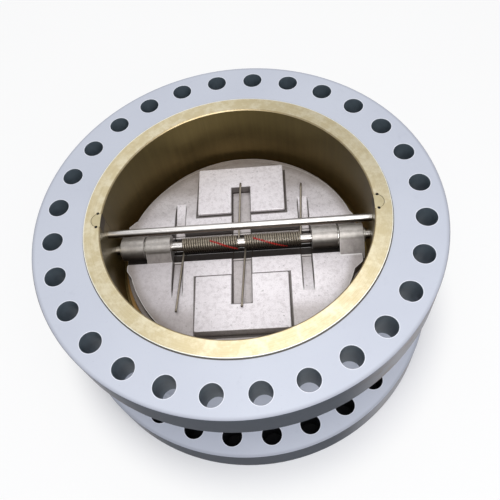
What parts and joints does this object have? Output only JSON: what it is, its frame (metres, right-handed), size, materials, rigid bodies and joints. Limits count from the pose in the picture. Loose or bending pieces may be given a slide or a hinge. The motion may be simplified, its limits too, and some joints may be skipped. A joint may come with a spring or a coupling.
{
  "type": "dual plate check valve",
  "caption": "Double-flanged dual plate check valve: two spring-loaded half discs hinged on one pin across a flanged body, with a stop pin above.",
  "frame": {"origin": "centre of the inlet raised face, on which the valve stands", "axes": "+Z along the bore from inlet to outlet, +X along the hinge pin, -Y towards the front plate"},
  "size_m": [1.075, 1.075, 0.486],
  "materials": {
    "body_paint": "light blue-grey paint over cast steel; raised faces and bores machined bare",
    "seat_overlay": "machined seat overlay with a straw tint",
    "plate_casting": "cast stainless steel, shot blasted, satin",
    "pin_steel": "ground bright steel",
    "spring_wire": "drawn nickel alloy wire, brownish grey, with a red paint stripe",
    "block_steel": "machined steel, oiled",
    "screw_steel": "black oxide",
    "bearing_steel": "turned stainless steel"
  },
  "bodies": {
    "root": {"body_outlet_flange": "body_paint", "body_outlet_barrel": "body_paint", "body_inlet_barrel": "body_paint", "body_inlet_flange": "body_paint", "body_crossbar": "body_paint", "seat_ring": "seat_overlay", "seat_bar": "seat_overlay", "hinge_pin": "pin_steel", "stop_pin": "pin_steel", "spring_left": "spring_wire", "spring_right": "spring_wire", "hinge_pin_block_left": "block_steel", "stop_pin_block_left": "block_steel", "retainer_plug_left": "block_steel", "lock_screws_left": "screw_steel", "plate_bearing_left": "bearing_steel", "body_bearing_left": "bearing_steel", "hinge_pin_block_right": "block_steel", "stop_pin_block_right": "block_steel", "retainer_plug_right": "block_steel", "lock_screws_right": "screw_steel", "plate_bearing_right": "bearing_steel", "body_bearing_right": "bearing_steel"},
    "plate_front": {"plate_front": "plate_casting", "plate_front_knuckles": "plate_casting"},
    "plate_rear": {"plate_rear": "plate_casting", "plate_rear_knuckles": "plate_casting"}
  },
  "joints": [
    {"name": "front_plate_hinge", "type": "hinge", "parent": "root", "child": "plate_front", "pos_m": [0, 0, 0.3306], "axis": [-1, 0, 0], "range_deg": [0, 86], "stiffness_Nm_per_rad": 9, "springref_deg": -114.59, "deforming": ["spring_left", "spring_right"]},
    {"name": "rear_plate_hinge", "type": "hinge", "parent": "root", "child": "plate_rear", "pos_m": [0, 0, 0.3306], "axis": [1, 0, 0], "range_deg": [0, 86], "stiffness_Nm_per_rad": 9, "springref_deg": -114.59, "deforming": ["spring_left", "spring_right"]}
  ]
}
